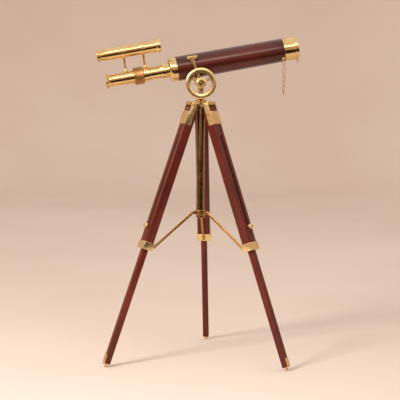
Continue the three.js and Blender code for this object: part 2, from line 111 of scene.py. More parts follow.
def flatFrame(name):
    # X outward from the tripod's axis, level, on the axis at floor height
    across = jointAxis("leg_fold_" + name)
    return axesFrame(Vector((panPoint.x, panPoint.y, 0)), across.cross(Vector((0, 0, 1))), across)


cameraSet = {"azimuth": -8.1, "distance": 5.466, "height": 1.150, "lookDown": 5.46, "lens": 126.4,
             "roll": 0.3, "aside": -0.0012}


def makeCamera():
    data = bpy.data.cameras.new("camera")
    data.lens = cameraSet["lens"]
    data.sensor_width = 36
    data.clip_end = 60
    camera = bpy.data.objects.new("camera", data)
    bpy.context.scene.collection.objects.link(camera)
    azimuth = math.radians(cameraSet["azimuth"])
    back = Vector((math.sin(azimuth), -math.cos(azimuth), 0))
    right = Vector((math.cos(azimuth), math.sin(azimuth), 0))
    place = Vector((panPoint.x, panPoint.y, cameraSet["height"]))
    place += back * cameraSet["distance"] + right * cameraSet["aside"]
    down = math.radians(cameraSet["lookDown"])
    look = -back * math.cos(down) - Vector((0, 0, math.sin(down)))
    turn = look.to_track_quat("-Z", "Y").to_matrix().to_4x4()
    roll = Matrix.Rotation(math.radians(cameraSet["roll"]), 4, "Z")
    camera.matrix_world = Matrix.Translation(place) @ turn @ roll
    bpy.context.scene.camera = camera


makeCamera()
print("camera placed")


def addNode(tree, kind, **settings):
    # settings whose names are sockets go to sockets, the rest to the node itself
    made = tree.nodes.new(kind)
    for key, value in settings.items():
        label = key.replace("_", " ")
        if label in made.inputs:
            made.inputs[label].default_value = value
        else:
            setattr(made, key, value)
    return made


def join(tree, fromNode, fromSocket, toNode, toSocket):
    tree.links.new(fromNode.outputs[fromSocket], toNode.inputs[toSocket])


def newMaterial(name):
    material = bpy.data.materials.new(name)
    material.use_nodes = True
    return material, material.node_tree, material.node_tree.nodes["Principled BSDF"]


def objectPlace(tree, scale=(1, 1, 1)):
    coords = addNode(tree, "ShaderNodeTexCoord")
    mapping = addNode(tree, "ShaderNodeMapping", Scale=scale)
    join(tree, coords, "Object", mapping, "Vector")
    return mapping


def noiseNode(tree, scale, stretch=(1, 1, 1), detail=4.0, roughness=0.55, distortion=0.0):
    place = objectPlace(tree, stretch)
    made = addNode(tree, "ShaderNodeTexNoise", Scale=scale, Detail=detail,
                   Roughness=roughness, Distortion=distortion)
    join(tree, place, "Vector", made, "Vector")
    return made


def rampNode(tree, source, socket, stops):
    ramp = addNode(tree, "ShaderNodeValToRGB")
    items = ramp.color_ramp.elements
    while len(items) < len(stops):
        items.new(0.5)
    for item, (place, color) in zip(items, stops):
        item.position = place
        item.color = (*color, 1)
    join(tree, source, socket, ramp, "Fac")
    return ramp


def rangeNode(tree, source, socket, low, high, fromLow=0.0, fromHigh=1.0):
    made = tree.nodes.new("ShaderNodeMapRange")
    for index, value in zip((1, 2, 3, 4), (fromLow, fromHigh, low, high)):
        made.inputs[index].default_value = value
    tree.links.new(source.outputs[socket], made.inputs[0])
    return made


def mixColors(tree, factor, socket, first, second, blend="MIX"):
    # first and second are colours or (node, socket)
    made = tree.nodes.new("ShaderNodeMix")
    made.data_type = "RGBA"
    made.blend_type = blend
    if factor is None:
        made.inputs[0].default_value = socket
    else:
        tree.links.new(factor.outputs[socket], made.inputs[0])
    for index, value in ((6, first), (7, second)):
        if isinstance(value[0], bpy.types.Node):
            tree.links.new(value[0].outputs[value[1]], made.inputs[index])
        else:
            made.inputs[index].default_value = (*value, 1)
    return made


mixedColor = 2  # a colour Mix node's colour output


def addBump(tree, shader, source, socket, strength, depth):
    bump = addNode(tree, "ShaderNodeBump", Strength=strength, Distance=depth)
    join(tree, source, socket, bump, "Height")
    join(tree, bump, "Normal", shader, "Normal")


brassLook = {
    "bright": (0.80, 0.58, 0.27), "warm": (0.68, 0.44, 0.17), "tarnish": (0.30, 0.15, 0.05),
    "polish": (0.09, 0.2),
}


def makeBrass(name, bright, warm, tarnish, polish, lines=None):
    # lines = how turning marks run: a stretch that is long across the marks
    material, tree, shader = newMaterial(name)
    shader.inputs["Metallic"].default_value = 1.0
    patches = noiseNode(tree, 22.0, detail=5.0, distortion=0.4)
    tones = rampNode(tree, patches, "Fac", [(0.30, warm), (0.62, bright)])
    spots = noiseNode(tree, 140.0, detail=6.0, roughness=0.7)
    spotMask = rangeNode(tree, spots, "Fac", 0.0, 0.5, 0.60, 0.78)
    color = mixColors(tree, spotMask, "Result", (tones, "Color"), tarnish)
    join(tree, color, mixedColor, shader, "Base Color")
    smudge = noiseNode(tree, 60.0, detail=5.0, roughness=0.65)
    rough = rangeNode(tree, smudge, "Fac", polish[0], polish[1], 0.3, 0.7)
    join(tree, rough, "Result", shader, "Roughness")
    marks = noiseNode(tree, 9.0, lines or (1, 1, 1), detail=3.0)
    addBump(tree, shader, marks, "Fac", 0.12 if lines else 0.08, 0.0004)
    return material


turnedBrass = makeBrass("turnedBrass", brassLook["bright"], brassLook["warm"],
                        brassLook["tarnish"], brassLook["polish"], (160, 0.6, 0.6))
castBrass = makeBrass("castBrass", brassLook["bright"], brassLook["warm"],
                      brassLook["tarnish"], (0.2, 0.34))
wheelBrass = makeBrass("wheelBrass", (0.90, 0.70, 0.37), (0.80, 0.56, 0.24),
                       brassLook["tarnish"], (0.24, 0.36))
columnBrass = makeBrass("columnBrass", (0.40, 0.25, 0.11), (0.27, 0.15, 0.06),
                        (0.12, 0.06, 0.02), (0.16, 0.3), (0.6, 0.6, 40))
braceBrass = makeBrass("braceBrass", (0.66, 0.40, 0.14), (0.5, 0.27, 0.09),
                       (0.2, 0.1, 0.03), (0.22, 0.36))
knurlBrass = makeBrass("knurlBrass", (0.44, 0.24, 0.09), (0.32, 0.15, 0.05),
                       (0.2, 0.09, 0.03), (0.3, 0.45))
screwBrass = makeBrass("screwBrass", (0.24, 0.14, 0.06), (0.14, 0.075, 0.03),
                       (0.05, 0.025, 0.012), (0.3, 0.45))

woodLook = {
    "leg": [(0.28, (0.050, 0.003, 0.0015)), (0.5, (0.105, 0.007, 0.0025)), (0.75, (0.18, 0.014, 0.005))],
    "barrel": [(0.3, (0.032, 0.003, 0.0015)), (0.5, (0.062, 0.006, 0.0025)), (0.72, (0.10, 0.010, 0.005))],
}


def makeWood(name, stops, along, polish, coat):
    # along = 0 for grain along X, 2 for grain along Z
    material, tree, shader = newMaterial(name)
    stretch = [26.0, 26.0, 26.0]
    stretch[along] = 1.2
    figure = noiseNode(tree, 2.2, stretch, detail=7.0, roughness=0.6, distortion=0.9)
    fine = [240.0, 240.0, 240.0]
    fine[along] = 5.0
    pores = noiseNode(tree, 3.0, fine, detail=4.0, roughness=0.7)
    tones = rampNode(tree, figure, "Fac", stops)
    poreMask = rangeNode(tree, pores, "Fac", 0.0, 0.55, 0.56, 0.74)
    color = mixColors(tree, poreMask, "Result", (tones, "Color"), (0.02, 0.003, 0.002))
    clouds = noiseNode(tree, 7.0, detail=3.0)
    shade = rangeNode(tree, clouds, "Fac", 0.72, 1.25, 0.3, 0.7)
    shaded = mixColors(tree, None, 1.0, (color, mixedColor), (1, 1, 1), "MULTIPLY")
    tree.links.new(shade.outputs["Result"], shaded.inputs[7])
    # sharp convex edges are painted a lighter red-brown: a painted edge highlight, together with edge wear
    edgeSharpness = addNode(tree, "ShaderNodeNewGeometry")
    edgeHighlightAndWear = rangeNode(tree, edgeSharpness, "Pointiness", 0.0, 0.55, 0.53, 0.62)
    withEdgeHighlightAndWear = mixColors(tree, edgeHighlightAndWear, "Result", (shaded, mixedColor), (0.26, 0.06, 0.03))
    join(tree, withEdgeHighlightAndWear, mixedColor, shader, "Base Color")
    rough = rangeNode(tree, pores, "Fac", polish[0], polish[1], 0.3, 0.75)
    join(tree, rough, "Result", shader, "Roughness")
    shader.inputs["Coat Weight"].default_value = coat
    shader.inputs["Coat Roughness"].default_value = 0.12
    shader.inputs["Specular IOR Level"].default_value = 0.3
    addBump(tree, shader, pores, "Fac", 0.18, 0.0003)
    return material


legWood = makeWood("legWood", woodLook["leg"], 2, (0.3, 0.48), 0.12)
barrelWood = makeWood("barrelWood", woodLook["barrel"], 0, (0.24, 0.38), 0.35)


def makeGlass():
    material, tree, shader = newMaterial("lensGlass")
    shader.inputs["Transmission Weight"].default_value = 0.9
    shader.inputs["IOR"].default_value = 1.5
    haze = noiseNode(tree, 30.0)
    tint = rampNode(tree, haze, "Fac", [(0.3, (0.62, 0.72, 0.78)), (0.7, (0.75, 0.80, 0.88))])
    join(tree, tint, "Color", shader, "Base Color")
    rough = rangeNode(tree, haze, "Fac", 0.02, 0.06)
    join(tree, rough, "Result", shader, "Roughness")
    return material


lensGlass = makeGlass()


def makeBlackening():
    # the dull black inside of the tubes
    material, tree, shader = newMaterial("tubeBlack")
    dust = noiseNode(tree, 80.0)
    tone = rampNode(tree, dust, "Fac", [(0.3, (0.012, 0.011, 0.010)), (0.7, (0.03, 0.026, 0.022))])
    join(tree, tone, "Color", shader, "Base Color")
    rough = rangeNode(tree, dust, "Fac", 0.6, 0.8)
    join(tree, rough, "Result", shader, "Roughness")
    return material


tubeBlack = makeBlackening()
print("materials made")


# the shape helpers take sizes in millimetres and return meshes in metres
def meshFrom(bm, name):
    bmesh.ops.recalc_face_normals(bm, faces=bm.faces)
    for vert in bm.verts:
        vert.co *= mm
    mesh = bpy.data.meshes.new(name)
    bm.to_mesh(mesh)
    bm.free()
    return mesh


def gathered(name, meshes):
    bm = bmesh.new()
    for mesh in meshes:
        bm.from_mesh(mesh)
        bpy.data.meshes.remove(mesh)
    result = bpy.data.meshes.new(name)
    bm.to_mesh(result)
    bm.free()
    return result


def pieceName(node):
    # upper_leg_back becomes upperLegBack
    first, *rest = node.split("_")
    return first + "".join(word.capitalize() for word in rest)


def finishPiece(name, meshes, place, materials, body, nodes, sharp=32):
    mesh = gathered(name, meshes)
    mesh.materials.clear()
    for material in materials:
        mesh.materials.append(material)
    mesh.shade_smooth()
    mesh.set_sharp_from_angle(angle=math.radians(sharp))
    piece = bpy.data.objects.new(pieceName(name), mesh)
    bpy.context.scene.collection.objects.link(piece)
    piece.matrix_world = place
    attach(piece, body)
    if nodes:
        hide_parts(*nodes)


def roundCorners(points, closed, steps=3):
    # each point is (along, radius) or (along, radius, corner size)
    rounded = []
    count = len(points)
    for i, point in enumerate(points):
        here = Vector(point[:2])
        corner = point[2] if len(point) > 2 else 0.5
        atEnd = not closed and i in (0, count - 1)
        if atEnd or corner <= 0:
            rounded.append(here)
            continue
        before = Vector(points[i - 1][:2]) - here
        after = Vector(points[(i + 1) % count][:2]) - here
        first = here + before.normalized() * min(corner, before.length * 0.45)
        last = here + after.normalized() * min(corner, after.length * 0.45)
        for k in range(steps + 1):
            t = k / steps
            rounded.append(first * (1 - t) ** 2 + here * 2 * t * (1 - t) + last * t * t)
    return rounded


axisOrders = {"X": lambda along, a, b: (along, a, b), "Y": lambda along, a, b: (b, along, a),
              "Z": lambda along, a, b: (a, b, along)}


def turnedMesh(points, closed=False, sides=96, axis="X", offset=(0, 0, 0), black=0.0, swell=None):
    # black = radius under which the walls are blackened
    # swell(along, radius, angle) moves the surface out
    outline = roundCorners(points, closed)
    bm = bmesh.new()
    rings = []
    for along, radius in outline:
        ring = []
        for k in range(1 if radius < 1e-4 else sides):
            angle = 2 * math.pi * k / sides
            r = radius + (swell(along, radius, angle) if swell else 0)
            co = axisOrders[axis](along, r * math.cos(angle), r * math.sin(angle))
            ring.append(bm.verts.new(Vector(offset) + Vector(co)))
        rings.append(ring)
    pairs = list(zip(range(len(rings)), range(1, len(rings))))
    if closed:
        pairs.append((len(rings) - 1, 0))
    for i, j in pairs:
        one, two = rings[i], rings[j]
        if len(one) == 1 and len(two) == 1:
            continue
        inner = max(outline[i][1], outline[j][1]) < black
        for k in range(sides):
            n = (k + 1) % sides
            corners = [one[k % len(one)], one[n % len(one)], two[n % len(two)], two[k % len(two)]]
            face = bm.faces.new(list(dict.fromkeys(corners)))
            face.material_index = 1 if inner else 0
    return meshFrom(bm, "turned")


def turnedPiece(name, points, place, body, material, closed=True, sides=96, black=0.0,
                axis="X", sharp=32, extras=(), swell=None):
    meshes = [turnedMesh(points, closed, sides, axis, black=black, swell=swell), *extras]
    finishPiece(name, meshes, place, [material, tubeBlack] if black else [material],
                body, [name], sharp)


def arcPoints(cx, cy, radius, start, end, steps=12):
    turns = [math.radians(start + (end - start) * k / steps) for k in range(steps + 1)]
    return [(cx + radius * math.cos(t), cy + radius * math.sin(t)) for t in turns]


def prismMesh(outline, low, high):
    # the outline is in X and Z, the thickness along Y
    bm = bmesh.new()
    near = [bm.verts.new((x, low, z)) for x, z in outline]
    far = [bm.verts.new((x, high, z)) for x, z in outline]
    bm.faces.new(near)
    bm.faces.new(far[::-1])
    for i in range(len(outline)):
        n = (i + 1) % len(outline)
        bm.faces.new((near[n], near[i], far[i], far[n]))
    return meshFrom(bm, "prism")


def blockMesh(low, high):
    return prismMesh([(low[0], low[2]), (high[0], low[2]), (high[0], high[2]), (low[0], high[2])],
                     low[1], high[1])


holeRadius = {"shaft": 5.4, "legBolt": 3.4, "knob": 4.4, "brace": 2.7}


def holeMesh(radius, low, high, sides=48, axis="Y", offset=(0, 0, 0)):
    return turnedMesh([(low, 0), (low, radius, 0), (high, radius, 0), (high, 0)], sides=sides,
                      axis=axis, offset=offset)


def shapedMesh(mesh, adds=(), cuts=(), bevel=0.0, segments=3):
    # joins and cuts solids, then rounds the edges
    scene = bpy.context.scene.collection.objects
    target = bpy.data.objects.new("target", mesh)
    scene.link(target)
    tools = []
    for operation, pieces in (("UNION", adds), ("DIFFERENCE", cuts)):
        for piece in pieces:
            tool = bpy.data.objects.new("tool", piece)
            scene.link(tool)
            tools.append(tool)
            modifier = target.modifiers.new("step", "BOOLEAN")
            modifier.operation = operation
            modifier.solver = "EXACT"
            modifier.object = tool
    if bevel:
        rounding = target.modifiers.new("rounding", "BEVEL")
        rounding.width = bevel * mm
        rounding.segments = segments
        rounding.limit_method = "ANGLE"
        rounding.angle_limit = math.radians(40)
    bpy.context.view_layer.update()
    depsgraph = bpy.context.evaluated_depsgraph_get()
    result = bpy.data.meshes.new_from_object(target.evaluated_get(depsgraph))
    for item in [target, *tools]:
        bpy.data.objects.remove(item)
    return result


def moved(mesh, matrix):
    mesh.transform(matrix)
    return mesh


def shifted(mesh, x, y, z):
    return moved(mesh, Matrix.Translation((x * mm, y * mm, z * mm)))


def linkMesh(ringRadius, wire, stretch=0.0, ringSteps=36, wireSteps=14):
    # a link of round wire standing in X and Z, stretched along Z
    bm = bmesh.new()
    loops = []
    for i in range(ringSteps):
        angle = 2 * math.pi * (i + 0.5) / ringSteps
        across = Vector((math.cos(angle), 0, math.sin(angle)))
        middle = across * ringRadius + Vector((0, 0, math.copysign(stretch, math.sin(angle))))
        loop = []
        for k in range(wireSteps):
            t = 2 * math.pi * k / wireSteps
            loop.append(bm.verts.new(middle + (across * math.cos(t) + Vector((0, math.sin(t), 0))) * wire))
        loops.append(loop)
    for i in range(ringSteps):
        one, two = loops[i], loops[(i + 1) % ringSteps]
        for k in range(wireSteps):
            n = (k + 1) % wireSteps
            bm.faces.new((one[k], two[k], two[n], one[n]))
    return meshFrom(bm, "link")


quarterTurn = Matrix.Rotation(math.radians(90), 4, "Z")


def screwMesh(place, outward, radius=2.6, high=1.1):
    # a domed slotted head
    head = turnedMesh([(-1.2, 0), (-1.2, radius), (0.1, radius, 0.1), (high * 0.7, radius * 0.75, 0.4),
                       (high, 0)], sides=24)
    slot = blockMesh((high * 0.45, -radius, -0.32), (high + 1, radius, 0.32))
    spin = Matrix.Rotation(random.uniform(0, math.pi), 4, "X")
    slotted = shapedMesh(head, cuts=[moved(slot, spin)])
    direction = Vector(outward)
    return moved(slotted, axesFrame(Vector(place) * mm, direction, direction.orthogonal()))


def lensPoints(back, front, radius, backDome, frontDome):
    rings = (0, 0.3, 0.55, 0.75, 0.9, 1)
    behind = [(back - backDome * (1 - r * r), radius * r, 0) for r in rings]
    ahead = [(front + frontDome * (1 - r * r), radius * r, 0) for r in reversed(rings)]
    return behind + ahead


# barrel, flange and dew shield
barrelSizes = {"back": -84, "front": 339, "backRadius": 47.5, "frontRadius": 45, "bore": 40.5}
turnedPiece("main_barrel", [
    (barrelSizes["back"], barrelSizes["bore"]), (barrelSizes["back"], barrelSizes["backRadius"], 0.8),
    (barrelSizes["front"], barrelSizes["frontRadius"], 0.8), (barrelSizes["front"], barrelSizes["bore"]),
], barrelFrame, "tube", barrelWood, sides=144, black=41)

flangeProfile = [
    (-146, 26.1), (-146, 27.4), (-143, 28.5), (-125, 28.5), (-122, 27), (-115, 27), (-115, 36.5, 1),
    (-112.5, 42.5, 3), (-107, 46.3, 3), (-101.5, 47.2, 1), (-101, 46.4, 0.3), (-100.2, 46.4, 0.3),
    (-99.6, 48), (-84.3, 48, 1), (-84.3, 40.2), (-64, 40.2), (-64, 26.1),
]
turnedPiece("barrel_flange", flangeProfile, barrelFrame, "tube", turnedBrass, sides=144)

shieldProfile = [
    (318, 35), (318, 40.2), (339.3, 40.2), (339.3, 44.5, 0.8), (342.5, 44.5, 0.3), (342.9, 44.0, 0.2),
    (343.3, 44.5, 0.3), (386, 44.5, 0.5), (386, 42), (345, 42), (345, 38), (321, 38), (321, 35),
]
turnedPiece("dew_shield", shieldProfile, barrelFrame, "tube", turnedBrass, sides=144, black=42.3)
turnedPiece("objective_lens", lensPoints(321.3, 327.3, 37.7, 2, 4), barrelFrame, "tube",
            lensGlass, closed=False)

capSizes = {"eyeAlong": 391.5, "eyeDrop": 48.6, "eyeRadius": 3.0, "wire": 1.1}
capProfile = [
    (391, 0), (391, 39.5), (372, 39.5), (372, 41.7), (386.3, 41.7), (386.3, 45.1, 0.4),
    (387.6, 45.75, 0.6), (395, 45.75, 0.8), (397, 44.5, 1.2), (397, 0),
]
capEye = shifted(moved(linkMesh(capSizes["eyeRadius"], capSizes["wire"]), quarterTurn),
                 capSizes["eyeAlong"], 0, -capSizes["eyeDrop"])
turnedPiece("lens_cap", capProfile, barrelFrame, "cap", turnedBrass, closed=False, sides=144,
            extras=[capEye])

chainSizes = {"wire": 1.1, "linkRadius": 5.4, "linkStretch": 4.25, "drop": 7.15, "pitch": 16.8,
              "links": 8, "ringRadius": 5.2, "ringDrop": 2.7}
finishPiece("cap_ring", [shifted(linkMesh(chainSizes["ringRadius"], chainSizes["wire"]),
                                 0, 0, -chainSizes["ringDrop"])],
            Matrix.Translation(jointPoint("cap_loop_hang")), [braceBrass], "cap_loop", ["cap_ring"])
for number in range(1, chainSizes["links"] + 1):
    link = linkMesh(chainSizes["linkRadius"], chainSizes["wire"], chainSizes["linkStretch"])
    if number % 2 == 0:
        link = moved(link, quarterTurn)
    nodeName = "chain_link_%d" % number
    finishPiece(nodeName, [shifted(link, 0, 0, -chainSizes["drop"] - (number - 1) * chainSizes["pitch"])],
                Matrix.Translation(jointPoint("chain_hang")), [braceBrass],
                "chain_top" if number == 1 else "chain", [nodeName])

studSizes = {"along": 330, "below": 30, "surface": 45.1, "eyePlace": 52.8, "eyeRadius": 3.2}
studTurn = Matrix.Rotation(math.asin(studSizes["below"] / studSizes["surface"]), 4, "X")
studPost = turnedMesh([(-44.8, 0), (-44.8, 5), (-47, 5, 0.6), (-47.6, 3), (-49.6, 2.4), (-49.6, 0)],
                      sides=32, axis="Y")
studEye = shifted(moved(linkMesh(studSizes["eyeRadius"], 1.1), quarterTurn), 0, -studSizes["eyePlace"], 0)
finishPiece("chain_stud", [studPost, studEye],
            barrelFrame @ Matrix.Translation((studSizes["along"] * mm, 0, 0)) @ studTurn,
            [castBrass], "tube", ["chain_stud"])
print("barrel made")

# draw tube, focus ring and eyepiece
turnedPiece("draw_tube", [
    (-262, 21.5), (-262, 23), (-215, 23), (-215, 25.7, 0.6), (-189, 25.7, 0.3), (-188.6, 25.2, 0.2),
    (-188.2, 25.7, 0.3), (-40, 25.7, 0.6), (-40, 21.5),
], barrelFrame, "draw", turnedBrass, black=22)

knurl = {"start": -245.5, "end": -220.5, "depth": 1.5, "around": 22, "pitch": 8.0}


def knurlSwell(along, radius, angle):
    if radius < 29 or not knurl["start"] < along < knurl["end"]:
        return 0.0
    around = knurl["around"] * angle / (2 * math.pi)
    shift = along / knurl["pitch"]
    one = abs(2 * ((around + shift) % 1) - 1)
    two = abs(2 * ((around - shift) % 1) - 1)
    return -knurl["depth"] * (0.7 * one + 0.3 * two)


knurlSteps = [(knurl["start"] + 0.4 + (knurl["end"] - knurl["start"] - 0.8) * k / 30, 33.5, 0)
              for k in range(31)]
turnedPiece("focus_ring", [(-250.7, 23.5), (-250.7, 32.3), (-249.2, 33.5), (-246.2, 33.5, 0.2),
                           *knurlSteps, (-219.8, 33.5, 0.2), (-216.8, 33.5), (-215.3, 32.3),
                           (-215.3, 23.5)],
            barrelFrame, "focuser", knurlBrass, sides=300, sharp=50, swell=knurlSwell)
turnedPiece("eyepiece_tube", [(-341, 23.5), (-341, 24.5, 0.4), (-268, 24.5, 0.3), (-267.4, 24.0, 0.2),
                              (-265, 24.0, 0.3), (-265, 23.5)],
            barrelFrame, "eyepiece", turnedBrass, black=23.8)
turnedPiece("eyecup", [
    (-341.3, 12), (-349.5, 12, 1), (-351, 17, 2), (-356, 24, 2), (-361, 29.3, 0.6), (-361, 30.5, 0.6),
    (-357, 28.9, 1), (-352, 24.6, 2), (-349, 23, 2), (-346.5, 24.6, 1), (-343.5, 25.2, 1), (-341.3, 24.6),
], barrelFrame, "eyepiece", turnedBrass)
turnedPiece("eye_lens", lensPoints(-348.5, -344.5, 11.7, 1.5, 1), barrelFrame, "eyepiece",
            lensGlass, closed=False, sides=64)

bracketPost = {"radius": 6.0, "waist": 4.6, "top": 76}


def bracketMeshes(place, foot):
    post = turnedMesh([
        (foot, 0), (foot, 7.2), (foot + 3.4, 7.2, 0.8), (foot + 4.6, bracketPost["radius"], 0.6),
        (foot + 8, bracketPost["waist"], 2), (bracketPost["top"] - 9, bracketPost["waist"], 2),
        (bracketPost["top"] - 4, bracketPost["radius"], 0.8),
        (bracketPost["top"] + 1, bracketPost["radius"]), (bracketPost["top"] + 1, 0),
    ], sides=40, axis="Z", offset=(place, 0, 0))
    holder = turnedMesh([
        (place - 6, 23.9), (place - 6, 25.2, 0.3), (place - 4, 25.6, 0.3), (place - 3.2, 27.5),
        (place + 3.2, 27.5), (place + 4, 25.6, 0.3), (place + 6, 25.2, 0.3), (place + 6, 23.9),
    ], closed=True, offset=(0, 0, finderAbove))
    return [post, holder]


turnedPiece("finder_bracket_front", [(-214.7, 26), (-214.7, 28.5, 0.8), (-195, 28.5, 0.8), (-195, 26)],
            barrelFrame, "draw", turnedBrass, extras=bracketMeshes(-202, 27.4))
turnedPiece("finder_bracket_rear", [(-285, 24.9), (-285, 26.5, 0.7), (-251, 26.5, 0.5), (-251, 23.5),
                                    (-257, 23.5), (-257, 24.9)],
            barrelFrame, "draw", turnedBrass, extras=bracketMeshes(-278, 25.9))
turnedPiece("finder_tube", [
    (-352, 21), (-352, 23.5, 0.4), (-342, 23.5, 0.2), (-341.5, 23.0, 0.2), (-341, 23.5, 0.2),
    (-150, 23.5, 1), (-147, 24, 0.5), (-144, 26, 0.8), (-132, 26, 0.8), (-132, 21),
], finderFrame, "draw", turnedBrass, black=21.5)
turnedPiece("finder_objective_lens", lensPoints(-142, -138, 20.7, 1, 2), finderFrame, "draw",
            lensGlass, closed=False, sides=64)
turnedPiece("finder_eyepiece", [
    (-378, 23.2), (-378, 24), (-374, 23.6, 1.5), (-367, 21.4, 2), (-364, 20.5, 1), (-330, 20.5), (-330, 9),
    (-366, 9, 0.5), (-368, 14, 1.5),
], finderFrame, "finder_focuser", turnedBrass)
turnedPiece("finder_eye_lens", lensPoints(-362, -358, 8.7, 1, 1), finderFrame, "finder_focuser",
            lensGlass, closed=False, sides=48)
print("draw tube and finder made")

# tilt arms, mount post, axle and hand wheel
armSizes = {"inner": 48.3, "outer": 53.3, "earX": -15, "earReach": 14, "earRadius": 6.5, "earZ": 102.6,
            "seat": 47.9, "axisAbove": 68.6}


def armOutline():
    x, z, r = armSizes["earX"], armSizes["earZ"], armSizes["earRadius"]
    return [
        *arcPoints(0, 0, 11, 60, -240, 40), (-7.8, 22), (-14.5, 70), (x - 7.4, z - 19), (x - 8.6, z - 13),
        (x - 10.6, z - 8.6), *arcPoints(x - armSizes["earReach"], z, r, 270, 90, 16),
        *arcPoints(x + armSizes["earReach"], z, r, 90, -90, 16), (x + 10.6, z - 8.6), (x + 8.6, z - 13),
        (x + 7.4, z - 19), (-6.5, 70), (2, 22),
    ]


def earOutline():
    x, z, r = armSizes["earX"], armSizes["earZ"], armSizes["earRadius"]
    return [*arcPoints(x - armSizes["earReach"], z, r, 270, 90, 16),
            *arcPoints(x + armSizes["earReach"], z, r, 90, -90, 16)]


def tiltArm(node, side):
    def between(outline, inner, outer):
        return prismMesh(outline, *sorted((side * inner, side * outer)))

    seat = holeMesh(armSizes["seat"], -70, 70, 144, "X", (0, 0, armSizes["axisAbove"]))
    bore = holeMesh(holeRadius["shaft"], -70, 70)
    plate = shapedMesh(between(armOutline(), armSizes["inner"], armSizes["outer"]), cuts=[bore], bevel=1.0)
    foot = shapedMesh(between(earOutline(), 30, armSizes["outer"] - 1.5), cuts=[seat])
    screws = [screwMesh((armSizes["earX"] + reach, side * armSizes["outer"], armSizes["earZ"]),
                        (0, side, 0), 3.4, 0.9) for reach in (-armSizes["earReach"], armSizes["earReach"])]
    finishPiece(node, [plate, foot, *screws], tiltFrame, [castBrass], "tube", [node])


tiltArm("tilt_arm_near", -1)
tiltArm("tilt_arm_far", 1)

axleX = round((tiltPoint.x - panPoint.x) / mm)
crossTube = shapedMesh(
    turnedMesh([(-47.5, 0), (-47.5, 12, 0.8), (-40, 12, 0.3), (-39.4, 11.4, 0.3), (39.4, 11.4, 0.3),
                (40, 12, 0.3), (47.5, 12, 0.8), (47.5, 0)], sides=96, axis="Y"),
    cuts=[holeMesh(holeRadius["shaft"], -60, 60)])
postCore = shapedMesh(
    turnedMesh([
        (1013.3, 0), (1013.3, 19.5, 0.8), (1029, 19.5, 1.2), (1031, 18, 1.5), (1040, 12.5, 3),
        (1048, 12, 1), (1083, 12, 5), (1083, 0),
    ], axis="Z"),
    cuts=[shifted(holeMesh(11.2, -60, 60, 64), axleX, 0, tiltPoint.z / mm),
          holeMesh(holeRadius["shaft"], 1005, 1042, axis="Z")])
finishPiece("mount_post", [shifted(crossTube, axleX, 0, tiltPoint.z / mm), postCore], postFrame,
            [castBrass], "pan", ["mount_post"])
turnedPiece("pan_bolt", [(978, 0), (978, 9, 1), (985.7, 9, 1), (985.7, 5), (1040, 5), (1040, 0)],
            postFrame, "pan", screwBrass, closed=False, sides=48, axis="Z")
turnedPiece("tilt_axle", [(-70, 0), (-70, 5, 0.8), (54.3, 5), (54.3, 9), (59.3, 9, 1), (61.3, 7, 1),
                          (61.3, 0)],
            axleFrame, "pan", castBrass, closed=False, sides=48, axis="Y")
nutHole = holeMesh(holeRadius["shaft"], -80, -60, 40)
nutBody = prismMesh(arcPoints(0, 0, 8.4, 10, 310, 5), -71, -66.7)
finishPiece("wheel_nut", [shapedMesh(nutBody, cuts=[nutHole], bevel=0.6)], axleFrame, [screwBrass],
            "pan", ["wheel_nut"])

wheelSizes = {"windowOuter": 40.5, "windowInner": 19, "spokeHalf": 6.5, "spokes": (30, 150, 270)}


def wheelWindow(fromSpoke, toSpoke):
    def aside(reach, radius):
        return math.degrees(math.asin(reach / radius))

    outer, inner, half = wheelSizes["windowOuter"], wheelSizes["windowInner"], wheelSizes["spokeHalf"]
    corners = [
        *arcPoints(0, 0, outer, fromSpoke + aside(half + 5, outer), toSpoke - aside(half + 5, outer), 24),
        *arcPoints(0, 0, outer - 1.5, toSpoke - aside(half + 2, outer),
                   toSpoke - aside(half + 1.4, outer), 1),
        *arcPoints(0, 0, outer - 5, toSpoke - aside(half, outer - 5),
                   toSpoke - aside(half, outer - 5.1), 1),
        *arcPoints(0, 0, inner + 4, toSpoke - aside(half, inner + 4),
                   toSpoke - aside(half, inner + 3.9), 1),
        *arcPoints(0, 0, inner, toSpoke - aside(half + 4, inner),
                   fromSpoke + aside(half + 4, inner), 10),
        *arcPoints(0, 0, inner + 4, fromSpoke + aside(half, inner + 3.9),
                   fromSpoke + aside(half, inner + 4), 1),
        *arcPoints(0, 0, outer - 5, fromSpoke + aside(half, outer - 5.1),
                   fromSpoke + aside(half, outer - 5), 1),
        *arcPoints(0, 0, outer - 1.5, fromSpoke + aside(half + 1.4, outer),
                   fromSpoke + aside(half + 2, outer), 1),
    ]
    return prismMesh(corners, -90, -40)


wheelRound = turnedMesh([
    (-57, 0), (-57, 58.5, 0), (-58.6, 60.2, 1), (-61.5, 60.5, 1), (-64, 59.2, 2), (-65.7, 56, 2.5),
    (-66.3, 51, 3), (-65.6, 46, 2.5), (-64.4, 42.5, 1.5), (-64, 40, 1), (-64.6, 22, 3), (-66, 17, 2),
    (-70, 15.4, 1.2), (-70, 9.3, 0.5), (-66, 9.3, 0.3), (-66, 0),
], sides=144, axis="Y")
wheelBore = holeMesh(holeRadius["shaft"], -90, -40)
windows = [wheelWindow(spoke, spoke + 120) for spoke in wheelSizes["spokes"]]
finishPiece("hand_wheel", [shapedMesh(wheelRound, cuts=[wheelBore, *windows], bevel=1.0)], axleFrame,
            [wheelBrass], "wheel", ["hand_wheel"], 40)
print("mount made")

# tripod head, column and sliding hub
headSizes = {"halfWidth": 24.5, "top": 1013, "under": 993, "hinge": 40, "hingeZ": 1000, "lug": 9}


def headArm(name):
    r, x, z, top = headSizes["lug"], headSizes["hinge"], headSizes["hingeZ"], headSizes["top"]
    outline = [(0, top), (x + 11, top), (x + 13, top - 2), (x + 13, z + 3), *arcPoints(x, z, r, -20, -140),
               (x - r, headSizes["under"]), (0, headSizes["under"])]
    arm = prismMesh(outline, -headSizes["halfWidth"], headSizes["halfWidth"])
    return moved(arm, postFrame.inverted() @ flatFrame(name))


